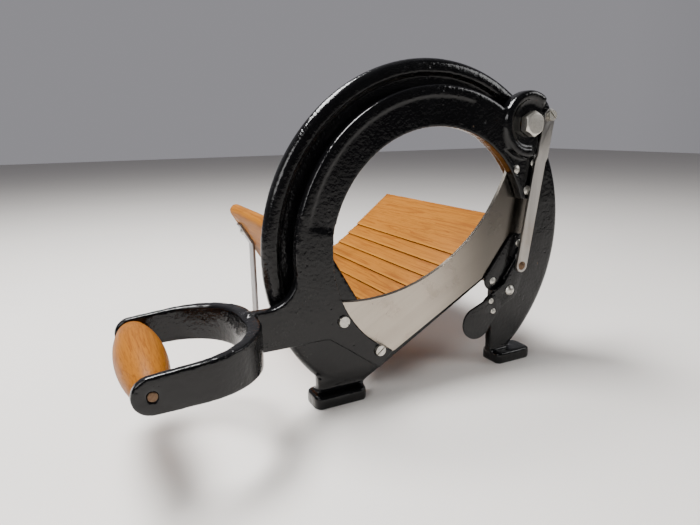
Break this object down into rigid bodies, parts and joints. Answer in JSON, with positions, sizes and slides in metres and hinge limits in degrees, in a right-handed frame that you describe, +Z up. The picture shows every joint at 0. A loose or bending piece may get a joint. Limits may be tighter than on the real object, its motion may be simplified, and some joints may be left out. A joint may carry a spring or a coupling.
{
  "type": "lever bread slicer",
  "caption": "Cast lever slicer: a swinging arm draws a concave blade down across a ring frame with a sloping wooden feed trough.",
  "frame": {"origin": "on the table, under the middle of the whole slicer's box", "axes": "+X towards the pivot side, +Y along the feed trough away from the blade, +Z up"},
  "size_m": [0.404, 0.3231, 0.273],
  "materials": {
    "black_enamel": "gloss",
    "black_lever": "gloss",
    "board_wood": "satin varnish",
    "grip_wood": "satin varnish",
    "blade_steel": "ground",
    "bar_steel": "brushed",
    "zinc_hardware": "zinc plated",
    "bronze_bush": "plain"
  },
  "bodies": {
    "base": {"frame": "black_enamel", "ribbed_board": "board_wood", "side_board": "board_wood", "board_screws": "zinc_hardware", "rear_stand": "bar_steel", "stand_screws": "zinc_hardware", "pivot_bolt": "zinc_hardware", "pivot_washer": "zinc_hardware", "back_washer": "zinc_hardware", "pivot_nut": "zinc_hardware", "guide_plate": "black_lever", "guide_rivets": "zinc_hardware", "rocker_rivet": "zinc_hardware"},
    "arm": {"arm": "black_enamel", "pivot_bush": "bronze_bush", "blade": "blade_steel", "blade_screws": "zinc_hardware", "blade_rivets": "zinc_hardware", "link_screw": "zinc_hardware", "grip_rod": "zinc_hardware"},
    "link": {"link_strap": "bar_steel", "link_pin": "zinc_hardware"},
    "rocker": {"rocker": "black_lever", "stop_plate": "black_lever", "stop_rivets": "zinc_hardware"},
    "grip": {"grip": "grip_wood"}
  },
  "joints": [
    {"name": "arm_swing", "type": "hinge", "parent": "base", "child": "arm", "pos_m": [0.14263, -0.10197, 0.2212], "axis": [0, 1, 0], "range_deg": [0, 60]},
    {"name": "link_swing", "type": "hinge", "parent": "arm", "child": "link", "pos_m": [0.16362, -0.10748, 0.228], "axis": [0, 1, 0], "range_deg": [-69, 1]},
    {"name": "rocker_swing", "type": "hinge", "parent": "base", "child": "rocker", "pos_m": [0.13311, -0.10347, 0.07303], "axis": [0, 1, 0], "range_deg": [-1, 67.5]},
    {"name": "grip_spin", "type": "hinge", "parent": "arm", "child": "grip", "pos_m": [-0.18738, -0.10197, 0.071], "axis": [0, 1, 0], "continuous": true}
  ],
  "couplings": [
    {"joint": "link_swing", "follows": "arm_swing", "ratio": -1.1354},
    {"joint": "rocker_swing", "follows": "arm_swing", "ratio": 1.1069}
  ]
}
